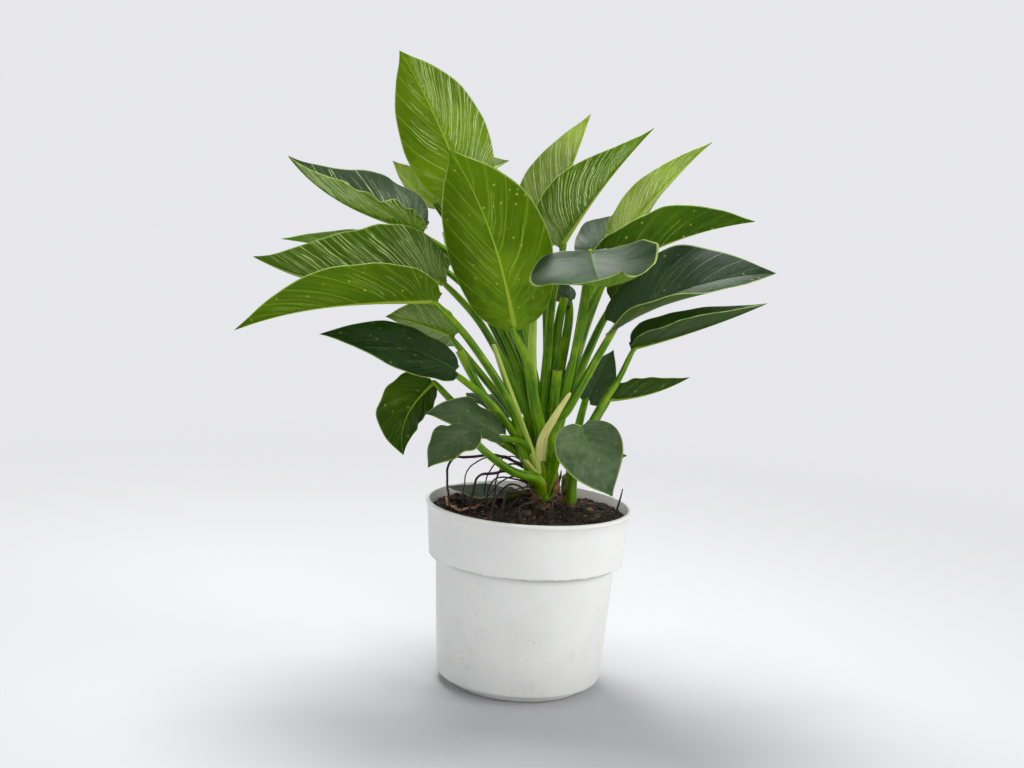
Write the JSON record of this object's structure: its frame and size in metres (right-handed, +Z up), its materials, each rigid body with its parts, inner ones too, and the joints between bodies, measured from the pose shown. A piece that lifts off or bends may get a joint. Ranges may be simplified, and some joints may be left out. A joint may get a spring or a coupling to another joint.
{
  "type": "potted variegated houseplant",
  "caption": "Potted leafy houseplant with folded, pinstriped heart-shaped leaves on long stalks, dark soil and a round white plastic nursery pot with a broad rim band.",
  "frame": {"origin": "centre of the pot's flat base, on the plane it stands on", "axes": "+Z up out of the pot; the pictured front looks towards -Y, +X is the viewer's right"},
  "size_m": [0.4144, 0.3252, 0.5073],
  "materials": {
    "pot_white": "satin moulded white plastic, slightly dusty",
    "soil": "dark crumbly potting soil with bark and fibre",
    "stalk": "smooth green living stalks with dry sheaths",
    "leaf": "waxy green leaf with pale pinstripes, lighter underneath",
    "root": "dark dry aerial root",
    "dry": "dry brown plant matter"
  },
  "bodies": {
    "root": {"pot": "pot_white", "soil": "soil", "stems_main": "stalk", "stems_side": "stalk", "leaf_top": "leaf", "leaf_front": "leaf", "leaf_top_behind": "leaf", "leaf_left_upper": "leaf", "leaf_young": "leaf", "leaf_left_middle_behind": "leaf", "leaf_left_long": "leaf", "leaf_left_front": "leaf", "leaf_left_hidden": "leaf", "leaf_left_dark": "leaf", "leaf_left_drooping": "leaf", "leaf_small_twisted": "leaf", "leaf_small_heart": "leaf", "leaf_on_soil": "leaf", "leaf_right_heart": "leaf", "leaf_right_tiny": "leaf", "leaf_right_back_pale": "leaf", "leaf_right_striped": "leaf", "leaf_right_pale": "leaf", "leaf_right_upper": "leaf", "leaf_front_curled": "leaf", "leaf_right_dark": "leaf", "leaf_right_folded": "leaf", "leaf_right_rolled": "leaf", "leaf_right_small_behind": "leaf", "leaf_right_inner": "leaf", "leaf_middle_pale": "leaf", "leaf_back_left": "leaf", "leaf_back_right": "leaf", "leaf_back_high": "leaf", "leaf_back_low": "leaf", "root_1": "root", "root_2": "root", "root_3": "root", "root_4": "root", "root_5": "root", "twig": "dry", "dry_leaf": "dry"}
  },
  "joints": []
}
